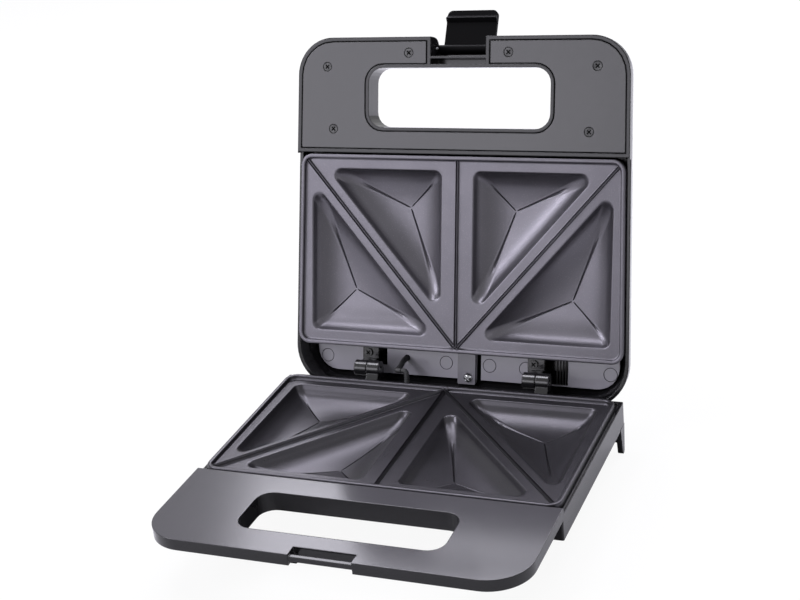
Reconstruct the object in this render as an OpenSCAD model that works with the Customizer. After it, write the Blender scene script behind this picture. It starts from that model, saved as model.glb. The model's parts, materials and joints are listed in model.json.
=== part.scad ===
// Two-slice sandwich toaster with a hinged lid, drawn with the lid standing open.
// Every piece is modelled where it lies when the toaster is shut; the lid and the latch
// are then swung open about their pins. x is across, y runs from the handle to the hinge.

/* [Overall] */
// Width of the housing, side to side, at its middle
body_w = 230; // [224:1:240]
// How much wider the housing is at the rear than at the front
side_flare = 3.6; // [0:0.2:4]
// Length of the base from handle edge to rear wall
base_len = 212.5; // [209:0.5:218]
// Depth of the handle part, front to back
handle_depth = 76; // [74:0.5:79]
// Height of the base handle's top face above the table
base_h = 38; // [37:0.5:42]
// Gap between the two handles when shut
parting = 2.5; // [1.8:0.1:3.5]
// Angle that the lid stands open
open_angle = 106.5; // [95:0.5:110]
// Length of the lid behind the base's rear wall
lid_overhang = 25.5; // [24:0.5:28]

/* [Base housing] */
// Thickness of every plastic outer wall
skin = 2.4; // [2:0.1:2.8]
// Radius of the handle's front corners
corner_r = 25; // [22:1:30]
// Drop from the handle's top to the body's side walls
rim_drop = 3.7; // [3:0.1:4.4]
// Height of the body's side walls
wall_h = 15.8; // [14:0.1:17]
// Height of the handle's outer edge
handle_edge = 7; // [6:0.1:8]
// Thickness of the base handle at its slot
handle_t = 12; // [11:0.5:13]
// Thickness of the handle's top and of its under cover
deck_t = 2.4; // [2:0.1:2.8]
// Width of the hand slot
slot_w = 125; // [112:1:130]
// Depth of the hand slot, front to back
slot_d = 39; // [34:0.5:41]
// Radius of the hand slot's corners
slot_r = 10; // [6:0.5:13]
// Width of the handle bar in front of the slot
bar_d = 20; // [18.5:0.5:22]
// Height of the base's underside above the table
ground_gap = 6; // [5:0.5:8]
// Length of a rear leg at its root
leg_root = 10; // [8:0.5:12]
// Length of a rear leg at its tip
leg_tip = 4.5; // [4:0.5:6]
// Thickness of a rear leg
leg_t = 3.4; // [3:0.1:4.5]

/* [Cooking plates] */
// Gap between a plate and the wall round it
plate_gap = 0.4; // [0.3:0.1:0.8]
// Distance from the rear wall to the plate's rear edge
plate_back = 5; // [4:0.5:7]
// Gap from the handle to the plate's front edge
plate_front_gap = 1.3; // [0.8:0.1:2]
// Thickness of the plate's flat land
plate_t = 2.5; // [2:0.1:3]
// Height of the lip above the land
lip_h = 2.7; // [2:0.1:3.2]
// Width of the lip round the plate
lip_w = 2.6; // [2:0.1:3.2]
// Height of the lip above the handle's top
lip_rise = 0.3; // [0:0.1:0.6]
// Radius of the plate's corners
plate_r = 8; // [5:0.5:12]
// Depth of a bread pocket
pocket_depth = 12; // [10:0.5:13]
// Wall under a pocket
pocket_wall = 1.9; // [1.6:0.1:2.2]
// Flat land between the lip and the pockets
land_edge = 7.2; // [6:0.2:9]
// Half the land between the two slices
land_centre = 11.3; // [9:0.2:13]
// Land on each side of a cutting ridge
land_diag = 7; // [6:0.2:8.5]
// Radius of a pocket's corners
pocket_r = 5; // [3:0.5:6]
// Height of the sealing ridges above the land
ridge_h = 1.6; // [1:0.1:2.2]
// Width of a sealing ridge at its foot
ridge_w = 2.6; // [2:0.1:3.4]
// Distance of the front plate screws behind the plate's front edge
post_back = 24.5; // [23:0.5:26]
// Radius of the posts that take the plate screws
post_r = 4; // [3.5:0.25:4.5]

/* [Heating] */
// Radius of the heating tube
heater_r = 3.2; // [2.8:0.1:3.4]
// How far the heating loop lies inside the front plate screws
heater_in = 4; // [3:0.5:6]
// Radius of the loop's bends
heater_bend = 20; // [18:1:24]
// Thickness of the heat shield sheets
shield_t = 0.6; // [0.5:0.1:1]
// Radius of the thermostat
thermostat_r = 7.5; // [6:0.5:8]
// Height of the thermostat
thermostat_h = 9; // [7:0.5:11]

/* [Lid] */
// Thickness of the lid's handle
lid_handle_t = 17; // [16.5:0.5:19]
// Radius of the dome's front corners
dome_r = 12; // [10:1:16]
// Height of the lid's dome above its rim
dome_h = 34.5; // [33:0.5:38]
// Gap round the handle's inner cover
cover_gap = 0.7; // [0.4:0.1:1]
// Thickness of the inner cover
cover_t = 2.2; // [1.8:0.1:2.6]
// Wall of the tube that lines the lid's slot
tube_t = 2.2; // [1.8:0.1:2.6]
// Radius of the lid's rear corners
rear_r = 29; // [24:1:30]
// Depth of the hinge panel below the lid's rim
panel_deep = 19.5; // [18.5:0.5:21]
// How far the hinge panel reaches behind the rear wall
panel_reach = 15.5; // [14.5:0.5:16.5]
// Distance of the hinge panel's ends from the housing's sides
panel_side = 9.3; // [8.5:0.1:12]
// Thickness of the inner frame
frame_t = 2.5; // [2:0.1:3]

/* [Hinges] */
// Distance of the hinge pin behind the rear wall
hinge_y = 9.25; // [8.5:0.25:10.5]
// Radius of the hinge pins
pin_r = 2; // [1.5:0.1:2.5]
// Running clearance of the pins, radial
pin_fit = 0.05; // [0.03:0.01:0.08]
// Radius of the hinge barrels
barrel_r = 5.5; // [5:0.1:6]
// Length of one barrel
barrel_l = 8.5; // [7:0.5:10]
// Gap between neighbouring barrels
barrel_gap = 0.5; // [0.4:0.1:0.8]
// Thickness of a lid arm's foot
hinge_pad = 2.5; // [2:0.5:4]
// Centre of the left hinge
hinge_left = -60.85; // [-66:0.5:-58]
// Centre of the right hinge
hinge_right = 57.75; // [55:0.5:62]

/* [Latch] */
// Width of the latch clip
latch_w = 35; // [30:0.5:36]
// Clearance beside the clip
latch_side = 1.4; // [0.8:0.1:2]
// Height of the latch pin above the lid's rim
latch_pin_up = 13.25; // [12.75:0.25:13.5]
// Distance of the latch pin behind the handle's front
latch_pin_back = 7.5; // [7:0.25:8]
// Radius of the latch pin
latch_pin_r = 1; // [0.8:0.1:1.2]
// Thickness of the clip
clip_t = 2.8; // [2.4:0.1:3.2]
// Length of the clip below its pin
clip_drop = 29.5; // [28:0.5:31]
// Height of the clip's hooking ridge
barb_h = 3; // [2.4:0.1:3.4]
// Angle that the clip swings open
latch_angle = 107; // [95:1:108]
// Depth of the notch in the base's handle
notch_d = 8.2; // [7.5:0.1:9]
// Depth of the catch bar, front to back
catch_d = 2.6; // [2.2:0.1:3]
// Height of the catch bar
catch_h = 3.1; // [2.5:0.1:3.5]

/* [Screws and fittings] */
// Radius of a cover screw's head
head_r = 2.8; // [2.4:0.1:3.2]
// Radius of a screw's shank
shank_r = 1.4; // [1.2:0.1:1.6]
// Clearance round a screw
screw_fit = 0.2; // [0.1:0.05:0.3]
// Radius of the bosses that take screws
boss_r = 3.6; // [3.2:0.1:4]
// Distance from one vent slit to the next
vent_pitch = 10; // [8:0.5:12]
// Radius of a front foot
foot_r = 7; // [5:0.5:9]
// Radius of the cord gland's bore
gland_r = 3.2; // [3:0.1:3.4]
// Width of the cord gland's inner flange
gland_flange = 2.6; // [2:0.2:3]
// Radius of the wire sleeve
sleeve_r = 1.9; // [1.6:0.1:2.2]
// Length of a base cover screw past its head
base_screw_l = 6; // [5:0.5:7]
// Length of a lid cover screw past its head
lid_screw_l = 7; // [5:0.5:9]
// Length of a hinge or frame screw in its boss
boss_screw_l = 5.5; // [4:0.5:6]
// Radius of an indicator lens
lens_r = 3.5; // [2.5:0.25:4.5]

/* [Hidden] */
// Every separate piece
$fn = 48;

// Each rounded corner of an outline is drawn with this many steps.
corner_steps = 6;
// Solids that are cut away reach this far past the face they open.
over = 1;

front = -base_len;
handle_back = front + handle_depth;
hinge_z = base_h + parting / 2;
rim_z = base_h + parting;
wall_top = base_h - rim_drop;
wall_low = wall_top - wall_h;
lid_back = lid_overhang;
slot_y0 = front + bar_d;
slot_y1 = slot_y0 + slot_d;

land_z = base_h + lip_rise - lip_h;
deck_z = land_z - plate_t;
pocket_low = land_z - pocket_depth - pocket_wall;
plate_y0 = handle_back + plate_front_gap;
plate_y1 = -plate_back;
plate_mid = (plate_y0 + plate_y1) / 2;
ledge_t = 2;
heater_z = pocket_low - 0.2 - heater_r;
heater_y1 = plate_y1 - 31;
heater_y0 = plate_y0 + 23;
heater_end_x = 15;
shield_z = heater_z - heater_r - 2;

panel_z = rim_z + panel_deep;
pivot_y = front + latch_pin_back;
pivot_z = rim_z + latch_pin_up;
notch_half = latch_w / 2 + latch_side;
clip_face = latch_pin_back + 0.4;
notch_back = pivot_y + 5.1;
catch_top = base_h - 1.5;
barb_mid = base_h - 1.5 - catch_h - 0.6 - barb_h * 0.83;

// Half the width of the housing at a place along y
function half_w(y) = body_w / 2 + side_flare * (y / base_len + 0.5);

function unit(v) = v / norm(v);

// The arc that rounds corner p between its neighbours a and b, counter-clockwise
function corner(p, a, b, r) =
    let (u = unit(a - p), v = unit(b - p), half = acos(u * v) / 2)
    let (c = p + unit(u + v) * r / sin(half), s = p + u * r / tan(half))
    let (a0 = atan2(s.y - c.y, s.x - c.x))
    let (turn = (180 - 2 * half) / corner_steps)
    [for (i = [0:corner_steps]) c + r * [cos(a0 + turn * i), sin(a0 + turn * i)]];

function rounded(p, r) =
    [for (i = [0:len(p) - 1]) each corner(p[i], p[(i + len(p) - 1) % len(p)], p[(i + 1) % len(p)], r[i])];

// The housing's outline from y0 to y1, drawn in by inset, and by extra more at its front
function outline(y0, y1, r0, r1, inset, extra = 0) =
    let (a = y0 + inset + extra, b = y1 - inset)
    let (wa = half_w(y0) - inset, wb = half_w(y1) - inset)
    let (ra = max(r0 - inset, 1), rb = max(r1 - inset, 1))
    rounded([[-wa, a], [wa, a], [wb, b], [-wb, b]], [ra, ra, rb, rb]);

function box_outline(x0, x1, y0, y1, r) = rounded([[x0, y0], [x1, y0], [x1, y1], [x0, y1]], [r, r, r, r]);

function slot_outline(grow) =
    box_outline(-slot_w / 2 - grow, slot_w / 2 + grow, slot_y0 - grow, slot_y1 + grow, slot_r + grow);

// A solid through a stack of rings, each a list of points with its height
module loft(rings) {
    n = len(rings[0][1]);
    last = len(rings) - 1;
    points = [for (ring = rings) for (p = ring[1]) [p.x, p.y, ring[0]]];
    sides = [
        for (k = [0:last - 1]) for (i = [0:n - 1])
            let (a = k * n + i, b = k * n + (i + 1) % n)
            each [[a, a + n, b + n], [a, b + n, b]]
    ];
    caps = [[for (i = [0:n - 1]) i], [for (i = [n - 1:-1:0]) last * n + i]];
    polyhedron(points = points, faces = concat(sides, caps));
}

module slab(points, z0, z1) {
    translate([0, 0, z0]) linear_extrude(z1 - z0) polygon(points);
}

module block(x0, x1, y0, y1, z0, z1) {
    translate([x0, y0, z0]) cube([x1 - x0, y1 - y0, z1 - z0]);
}

module post(p, r, z0, z1) {
    translate([p.x, p.y, z0]) cylinder(r = r, h = z1 - z0);
}

module rod_x(y, z, r, x0, x1) {
    translate([x0, y, z]) rotate([0, 90, 0]) cylinder(r = r, h = x1 - x0);
}

// A wire or sleeve of eight sides through a list of points, mitred at its bends
module pipe(points, r) {
    last = len(points) - 1;
    ways = [for (i = [0:last - 1]) unit(points[i + 1] - points[i])];
    bends = [for (i = [0:last]) unit(ways[max(i - 1, 0)] + ways[min(i, last - 1)])];
    start = square_to(ways[0]);
    sides = carried(start, ways);
    rings = [
        for (i = [0:last])
            let (way = ways[min(i, last - 1)], u = sides[min(i, last - 1)], v = cross(way, u), m = bends[i])
            for (k = [0:7])
                let (p = r * (cos(45 * k) * u + sin(45 * k) * v))
                points[i] + p - way * (p * m) / (way * m)
    ];
    faces = [
        for (i = [0:last - 1]) for (k = [0:7])
            let (a = 8 * i + k, b = 8 * i + (k + 1) % 8)
            each [[a, a + 8, b + 8], [a, b + 8, b]]
    ];
    caps = [[for (k = [0:7]) k], [for (k = [7:-1:0]) 8 * last + k]];
    polyhedron(points = rings, faces = concat(faces, caps));
}

// A direction square to way
function square_to(way) = unit(cross(way, abs(way.z) < 0.8 ? [0, 0, 1] : [1, 0, 0]));

// The sideways direction at each stretch, turned along with the bends from the first one
function carried(side, ways, i = 0) =
    i == len(ways) - 1 ? [side] :
    let (a = ways[i], b = ways[i + 1], axis = cross(a, b), s = norm(axis))
    let (k = s < 0.001 ? [0, 0, 0] : axis / s, c = a * b)
    concat([side], carried(side * c + cross(k, side) * s + k * (k * side) * (1 - c), ways, i + 1));

// The lid's pieces mirror the base's about the plane through the hinge pins.
module flip() {
    translate([0, 0, 2 * hinge_z]) mirror([0, 0, 1]) children();
}

// Where points of the shut lid and latch lie, as [y, z], once they are swung open
function swing(p, c, a) =
    let (d = p - c) c + [d.x * cos(a) + d.y * sin(a), d.y * cos(a) - d.x * sin(a)];
function opened(p) = swing(p, [hinge_y, hinge_z], open_angle);
function unlatched(p) = opened(swing(p, [pivot_y, pivot_z], latch_angle));

// The origin is on the table, under the middle of the open toaster.
clip_tip = unlatched([front - 0.4 - clip_t, pivot_z - clip_drop]);
origin_y = (front + clip_tip.x) / 2;

module base_place() {
    translate([0, -origin_y, 0]) children();
}

module lid_place() {
    base_place() translate([0, hinge_y, hinge_z]) rotate([-open_angle, 0, 0])
        translate([0, -hinge_y, -hinge_z]) children();
}

module latch_place() {
    lid_place() translate([0, pivot_y, pivot_z]) rotate([-latch_angle, 0, 0])
        translate([0, -pivot_y, -pivot_z]) children();
}

// Cooking plates

// The sealing ridge runs from the middle of the rear lip to the front corners.
plate_inset = skin + plate_gap;
ridge_rear = [0, plate_y1 - lip_w];
ridge_end = [half_w(plate_y0) - plate_inset - lip_w, plate_y0 + lip_w];
ridge_dir = unit(ridge_end - ridge_rear);
ridge_side = [-ridge_dir.y, ridge_dir.x];

// A point of the line beside the ridge at a given x or y
function beside_x(off, x) =
    let (q = ridge_rear + ridge_side * off) [x, q.y + (x - q.x) * ridge_dir.y / ridge_dir.x];
function beside_y(off, y) =
    let (q = ridge_rear + ridge_side * off) [q.x + (y - q.y) * ridge_dir.x / ridge_dir.y, y];

front_post = beside_y(0, plate_y0 + post_back);
heater_x = round(10 * (front_post.x - heater_in)) / 10;
posts = [[-front_post.x, front_post.y], front_post, [-12, plate_y1 - 17], [12, plate_y1 - 17]];
pocket_x = half_w(plate_y1) - plate_inset - lip_w - land_edge;
pocket_y0 = plate_y0 + lip_w + land_edge;
pocket_y1 = plate_y1 - lip_w - land_edge;
front_tri = [[land_centre, pocket_y0], beside_y(-land_diag, pocket_y0), beside_x(-land_diag, land_centre)];
side_tri = [[pocket_x, pocket_y1], beside_y(land_diag, pocket_y1), beside_x(land_diag, pocket_x)];

// Centre and radius of the circle inside a triangle
function in_centre(t) =
    let (a = norm(t[1] - t[2]), b = norm(t[2] - t[0]), c = norm(t[0] - t[1]))
    (a * t[0] + b * t[1] + c * t[2]) / (a + b + c);
function in_radius(t) =
    let (a = norm(t[1] - t[2]), b = norm(t[2] - t[0]), c = norm(t[0] - t[1]))
    abs(cross(t[1] - t[0], t[2] - t[0])) / (a + b + c);

// How far in, and how deep, a pocket's wall goes, as shares of its size
pocket_curve = [[1, 0], [0.95, 0.25], [0.87, 0.46], [0.75, 0.65], [0.55, 0.83], [0.3, 0.94], [0.03, 1]];

// A pocket's hollow, or the bulge round it when grow is a wall's thickness
module pocket(tri, grow) {
    c = in_centre(tri);
    shape = rounded(tri, [pocket_r, pocket_r, pocket_r]);
    deep = pocket_depth + grow;
    rings = [
        for (i = [len(pocket_curve) - 1:-1:0])
            let (s = pocket_curve[i][0] + grow / in_radius(tri))
            [land_z - deep * pocket_curve[i][1], [for (p = shape) c + (p - c) * s]]
    ];
    top = rings[len(rings) - 1];
    loft(grow > 0 ? rings : concat(rings, [[top[0] + lip_h + over, top[1]]]));
}

module ridge(a, b) {
    d = b - a;
    translate([a.x, a.y, land_z - 0.2]) rotate(atan2(d.y, d.x)) rotate([90, 0, 90])
        linear_extrude(norm(d)) polygon([
            [-ridge_w / 2, 0], [ridge_w / 2, 0], [ridge_w / 4, ridge_h + 0.2], [-ridge_w / 4, ridge_h + 0.2]
        ]);
}

function plate_outline(inset) =
    outline(plate_y0 - plate_inset, plate_y1 + plate_inset, plate_r + plate_inset, plate_r + plate_inset,
        plate_inset + inset);

module both_sides() {
    children();
    mirror([1, 0, 0]) children();
}

module pockets(grow) {
    both_sides() {
        pocket(front_tri, grow);
        pocket(side_tri, grow);
    }
}

module heater_seats() {
    seat = 5;
    side_y = plate_y0 + 57;
    for (p = [[heater_x, side_y], [-heater_x, side_y], [0, heater_y0]])
        block(p.x - seat, p.x + seat, p.y - seat, p.y + seat, heater_z, deck_z + 0.5);
}

// One cast plate: land, lip, ridges, pockets, and posts down to post_z
module cooking_plate(post_z) {
    difference() {
        union() {
            slab(plate_outline(0), deck_z, land_z);
            difference() {
                slab(plate_outline(0), deck_z, land_z + lip_h);
                slab(plate_outline(lip_w), deck_z - over, land_z + lip_h + over);
            }
            pockets(pocket_wall);
            for (p = posts) post(p, post_r, post_z, deck_z + 0.5);
            heater_seats();
        }
        pockets(0);
        heater_tube(heater_r);
        for (p = posts) post(p, shank_r + 0.02, post_z - over, post_z + 8);
    }
    both_sides() ridge(ridge_rear, ridge_end);
    ridge([0, ridge_rear.y], [0, ridge_end.y]);
}

module heater_tube(r) {
    bx = heater_x - heater_bend;
    by0 = heater_y0 + heater_bend;
    by1 = heater_y1 - heater_bend;
    rod_x(heater_y0, heater_z, r, -bx, bx);
    both_sides() {
        rod_x(heater_y1, heater_z, r, heater_end_x, bx);
        translate([heater_x, by0, heater_z]) rotate([-90, 0, 0]) cylinder(r = r, h = by1 - by0);
        translate([bx, by0, heater_z]) rotate(-90) rotate_extrude(angle = 90)
            translate([heater_bend, 0]) circle(r = r);
        translate([bx, by1, heater_z]) rotate_extrude(angle = 90) translate([heater_bend, 0]) circle(r = r);
    }
}

module heater_pins() {
    both_sides() rod_x(heater_y1, heater_z, 1, 3, heater_end_x);
}

module heater_beads() {
    both_sides() difference() {
        rod_x(heater_y1, heater_z, 2.6, 9, heater_end_x);
        rod_x(heater_y1, heater_z, 1.02, 8, heater_end_x + over);
    }
}

// A heat shield lies on the far side of the heating tube from the plate.
function shield_outline() =
    let (z = shield_z - shield_t - pan_t, wall = pan_inset(z) + pan_t)
    let (y0 = handle_back + wall + pan_slope * (wall_low - z) + shield_gap.y)
    let (half = half_w(y0) - wall - shield_gap.x)
    box_outline(-half, half, y0, plate_y1 - 10, 8);

// Base housing

// The housing's body: side walls, rear wall and the ledge that carries the plate
module base_walls() {
    y0 = handle_back - skin;
    difference() {
        slab(outline(y0, 0, 1, 1.2, 0), wall_low, wall_top);
        slab(outline(y0, 0, 1, 1.2, skin), wall_low - over, wall_top + over);
    }
    difference() {
        slab(outline(y0, 0, 1, 1.2, 0.5), deck_z - ledge_t, deck_z);
        slab(outline(y0, 0, 1, 6, skin + 3), deck_z - ledge_t - over, deck_z + over);
    }
    difference() {
        slab(outline(y0, 0, 1, 1.2, 0), wall_low, wall_low + ledge_t);
        slab(outline(y0, 0, 1, 12, 8.5), wall_low - over, wall_low + ledge_t + over);
    }
    block(-half_w(0) + 1, half_w(0) - 1, -skin, 0, ground_gap, wall_low + over);
}

module handle_shell() {
    difference() {
        slab(outline(front, handle_back, corner_r, 1, 0), base_h - handle_edge, base_h);
        difference() {
            slab(outline(front, handle_back, corner_r, 1, skin),
                base_h - handle_edge - over, base_h - deck_t);
            block(-notch_half - skin, notch_half + skin, front, front + notch_d + skin,
                base_h - handle_t, base_h);
        }
    }
    difference() {
        slab(slot_outline(tube_t), base_h - handle_t, base_h);
        slab(slot_outline(0), base_h - handle_t - over, base_h + over);
    }
    for (p = handle_screw_places) post(p, boss_r, base_h - handle_t + deck_t, base_h - 1);
}

handle_screw_places = concat(
    [for (s = [-1, 1]) [s * (slot_w / 2 - 28.4), slot_y0 - 9.7]],
    [for (s = [-1, 1]) [s * (half_w(front) - 20.7), front + 19.2]],
    [for (s = [-1, 1]) [s * (half_w(front) - 25.2), handle_back - 15.6]]
);

module rear_leg() {
    x = half_w(0);
    top = wall_low + 1;
    translate([x - leg_t, 0, 0]) rotate([90, 0, 90]) linear_extrude(leg_t)
        polygon([[-leg_root, top], [-leg_tip - 2, 1.4], [-leg_tip - 0.6, 0], [-3.2, 0], [-2, 1], [0, top]]);
}

module base_housing() color("#26252a") {
    difference() {
        union() {
            base_walls();
            handle_shell();
            both_sides() rear_leg();
        }
        slab(slot_outline(0), base_h - handle_t - over, base_h + over);
        block(-notch_half, notch_half, front - over, front + notch_d, 0, base_h + over);
        for (p = handle_screw_places) post(p, shank_r + 0.02, 0, base_h - deck_t);
        translate([gland_x, over, gland_z]) rotate([90, 0, 0]) {
            cylinder(r = gland_r + 1.6, h = skin + 2 * over);
            translate([0, 0, skin + over]) cylinder(r = gland_r + gland_flange + 0.3, h = 6);
        }
        translate([sleeve_x + 8, over, sleeve_z]) rotate([90, 0, 0])
            cylinder(r = sleeve_r + 0.5, h = skin + 2 * over);
    }
    block(-notch_half, notch_half, front + 0.4, front + 0.4 + catch_d, catch_top - catch_h, catch_top);
}

// The handle's under cover swells from the edge down to the slot.
module base_handle_cover() color("#1e1d21") {
    z0 = base_h - handle_t;
    z1 = base_h - handle_edge;
    difference() {
        loft([
            [z0, outline(front, handle_back, corner_r, 4, 11)],
            [z0 + 1.4, outline(front, handle_back, corner_r, 4, 8)],
            [z1, outline(front, handle_back, corner_r, 3, skin + 0.3)]
        ]);
        loft([
            [z0 + deck_t, outline(front, handle_back, corner_r, 4, 11)],
            [z1 + over, outline(front, handle_back, corner_r, 3, skin + 2.4)]
        ]);
        slab(slot_outline(tube_t + 0.3), z0 - over, z1 + over);
        block(-notch_half - skin - 0.3, notch_half + skin + 0.3, front, front + notch_d + skin + 0.3,
            0, base_h);
        for (p = handle_screw_places) {
            post(p, boss_r + 0.1, z0 + deck_t, z1 + over);
            post(p, shank_r + screw_fit, z0 - over, z1);
            post(p, head_r + 0.3, z0 - over, z0 + 1.2);
        }
    }
}

// A cross-head screw with its head down: seat is the height of the head's upper face.
module screw(p, seat, length, r = head_r, h = 1.4) {
    difference() {
        union() {
            post(p, r, seat - h, seat);
            post(p, shank_r, seat - 0.1, seat + length);
        }
        for (a = [45, 135]) translate([p.x, p.y, seat - h - 0.1]) rotate(a)
            translate([-0.62 * r, -0.14 * r, 0]) cube([1.24 * r, 0.28 * r, 0.7 * h]);
    }
}

module base_handle_screws() color("#9a9ba0") {
    for (p = handle_screw_places) screw(p, base_h - handle_t + 1.2, base_screw_l);
}

// How far in, and how high, the bottom pan's wall goes; its front slopes back by pan_slope
pan_curve = [[14, 0], [11, 1], [8.6, 4], [7, 10], [6.2, wall_low - ground_gap]];
pan_slope = 1.15;
pan_t = 2.2;
shield_gap = [4.3, 1.15];
function pan_inset(z) = lookup(z - ground_gap, [for (c = pan_curve) [c[1], c[0]]]);

module pan(grow) {
    loft([
        for (c = pan_curve)
            let (slope = pan_slope * (wall_low - ground_gap - c[1]))
            [ground_gap + c[1] + grow, outline(handle_back, 3.3, 14, 14, c[0] + grow, slope)]
    ]);
}

// Height at which the heads of the plate screws sit in their wells
well_z = shield_z - shield_t - 3;

module base_bottom_cover() color("#1b1a1e") {
    difference() {
        union() {
            difference() {
                pan(0);
                pan(pan_t);
            }
            intersection() {
                pan(0);
                for (p = posts) post(p, post_r + 1.5, ground_gap, shield_z - shield_t);
            }
        }
        for (p = posts) {
            post(p, shank_r + screw_fit, 0, base_h);
            post(p, head_r + 0.6, 0, well_z);
        }
        for (i = [-6:6]) block(i * vent_pitch - 2, i * vent_pitch + 2, plate_mid - 20, plate_mid + 20, 0,
            ground_gap + 2.5);
        translate([gland_x, over, gland_z]) rotate([90, 0, 0]) {
            cylinder(r = gland_r + gland_flange + 0.4, h = 8.5);
            cylinder(r = 2.2, h = 14);
        }
    }
}

module base_plate() color("#3b3a40") cooking_plate(shield_z);

module base_heater() color("#8d8a86") {
    heater_tube(heater_r);
    heater_pins();
}

module base_heater_beads() color("#e9e5da") heater_beads();

module base_heat_shield() color("#b9bbbe") {
    difference() {
        slab(shield_outline(), shield_z - shield_t, shield_z);
        for (p = posts) post(p, shank_r + screw_fit, 0, base_h);
        block(block_x - 6, block_x + 28, block_y - 8, 0, 0, base_h);
    }
}

module base_plate_screws() color("#9a9ba0") {
    for (p = posts) screw(p, well_z, shield_z + 6 - well_z);
}

foot_y = plate_y0 + 41.2;
module front_feet() color("#141416") {
    both_sides() translate([80, foot_y, 0]) rotate_extrude() polygon([
        [0, 0], [foot_r - 1, 0], [foot_r, 1], [foot_r - 0.6, ground_gap], [0, ground_gap]
    ]);
}

// Mains parts in the base
gland_x = 30;
gland_z = ground_gap + 6.2;
block_x = 40;
block_y = -28;
sleeve_x = -41;
sleeve_z = hinge_z - 10.5;

module terminal_block() color("#ece8dd") {
    difference() {
        block(block_x, block_x + 24, block_y, block_y + 14, ground_gap + 2.2, ground_gap + 11);
        for (x = [4, 12, 20]) {
            translate([block_x + x, block_y + 15, ground_gap + 6.6]) rotate([90, 0, 0])
                cylinder(r = 1.6, h = 16);
            post([block_x + x, block_y + 7], 1.5, ground_gap + 7, ground_gap + 12);
        }
    }
}

module base_wires() color("#a33a2c") {
    z = ground_gap + 6.6;
    x = block_x + 4;
    pipe([
        [x, block_y + 0.6, z], [x, block_y - 2.2, z + 2.6], [x - 6, block_y - 3, heater_z],
        [9, block_y - 3, heater_z], [5, heater_y1 + 1.9, heater_z]
    ], 0.9);
    pipe([
        [x + 8, block_y + 13.6, z], [x + 7, block_y + 16.4, z], [x - 8, block_y + 17.2, gland_z],
        [gland_x + 1.4, -9.4, gland_z]
    ], 1.4);
}

module cord_gland() color("#141416") {
    translate([gland_x, 0, gland_z]) rotate([-90, 0, 0]) rotate_extrude() polygon([
        [gland_r, -7], [gland_r + gland_flange, -7], [gland_r + gland_flange, -skin - 0.1],
        [gland_r + 1.5, -skin - 0.1],
        [gland_r + 1.5, 0.1], [gland_r + 2.4, 0.1], [gland_r + 1.4, 7], [gland_r, 7]
    ]);
}

// Hinges: each has a lid barrel on its left and a base barrel on its right.
function lid_barrel(x) = [x - barrel_gap / 2 - barrel_l, x - barrel_gap / 2];
function base_barrel(x) = [x + barrel_gap / 2, x + barrel_gap / 2 + barrel_l];

module base_hinge(x) {
    b = base_barrel(x);
    difference() {
        union() {
            rod_x(hinge_y, hinge_z, barrel_r, b[0], b[1]);
            translate([b[0], 0, 0]) rotate([90, 0, 90]) linear_extrude(barrel_l) polygon([
                [0.05, hinge_z - 19], [3, hinge_z - 19], [hinge_y + barrel_r * 0.6, hinge_z - 12],
                [hinge_y + barrel_r * 0.95, hinge_z - 1], [hinge_y - barrel_r * 0.95, hinge_z - 1],
                [0.05, wall_top - 1.5]
            ]);
        }
        rod_x(hinge_y, hinge_z, pin_r + 0.02, b[0] - over, b[1] + over);
    }
}

module base_hinge_left() color("#2c2b30") base_hinge(hinge_left);
module base_hinge_right() color("#2c2b30") base_hinge(hinge_right);

module hinge_pin(x) {
    rod_x(hinge_y, hinge_z, pin_r, lid_barrel(x)[0] + 0.6, base_barrel(x)[1] - 0.6);
}

module hinge_pin_left() color("#c9cbce") hinge_pin(hinge_left);
module hinge_pin_right() color("#c9cbce") hinge_pin(hinge_right);

module base_wire_sleeve() color("#17171a") {
    pipe([
        [sleeve_x + 4.2, hinge_y, hinge_z], [sleeve_x + 8, hinge_y, hinge_z],
        [sleeve_x + 8, hinge_y - 3, sleeve_z], [sleeve_x + 8, -8, sleeve_z],
        [sleeve_x + 10, -12.5, sleeve_z - 5],
        [block_x - 8, -13, heater_z - 0.6], [block_x - 2.6, -17.4, heater_z - 3.4],
        [block_x - 0.2, -17.4, heater_z - 3.4]
    ], sleeve_r);
}

// Lid

dome_curve = [[0, rim_drop], [0.5, 9], [1.6, 16], [3.6, 21.5], [7, 27], [11, 31], [16, 33.6], [24, 34.5]];
function dome_rise(z) = z * dome_h / 34.5;

module dome(grow) {
    rings = [
        for (c = dome_curve)
            [rim_z + dome_rise(c[1]) - (c[1] > 20 ? grow : 0),
                outline(handle_back - 3, lid_back, dome_r + c[0], rear_r, c[0] + grow)]
    ];
    loft(grow > 0 ? concat([[rim_z - over, rings[0][1]]], rings) : rings);
}

// Rounded edge of the lid's handle, as inset and height
handle_curve = [[0, 0], [0.1, 6], [0.7, 10.5], [2, 13.6], [4.4, 15.9], [8, 17]];
function handle_rise(z) = z * lid_handle_t / 17;

module lid_handle_body(grow) {
    rings = [
        for (c = handle_curve)
            [rim_z + handle_rise(c[1]) - (c[1] > 15 ? grow : 0),
                outline(front, lid_back, corner_r, rear_r, c[0] + grow)]
    ];
    loft(grow > 0 ? concat([[rim_z - over, rings[0][1]]], rings) : rings);
}

frame_screw_places = [[-50, handle_back + 15.5], [50, handle_back + 15.5]];
lid_hinge_places = [for (x = [hinge_left, hinge_right]) [lid_barrel(x)[0] + 1.3, 1.5]];
strap_x = 3;
strap_place = [strap_x + 1, 14];
lamp_places = [[-12, handle_back + 32.5], [12, handle_back + 32.5]];

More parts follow.
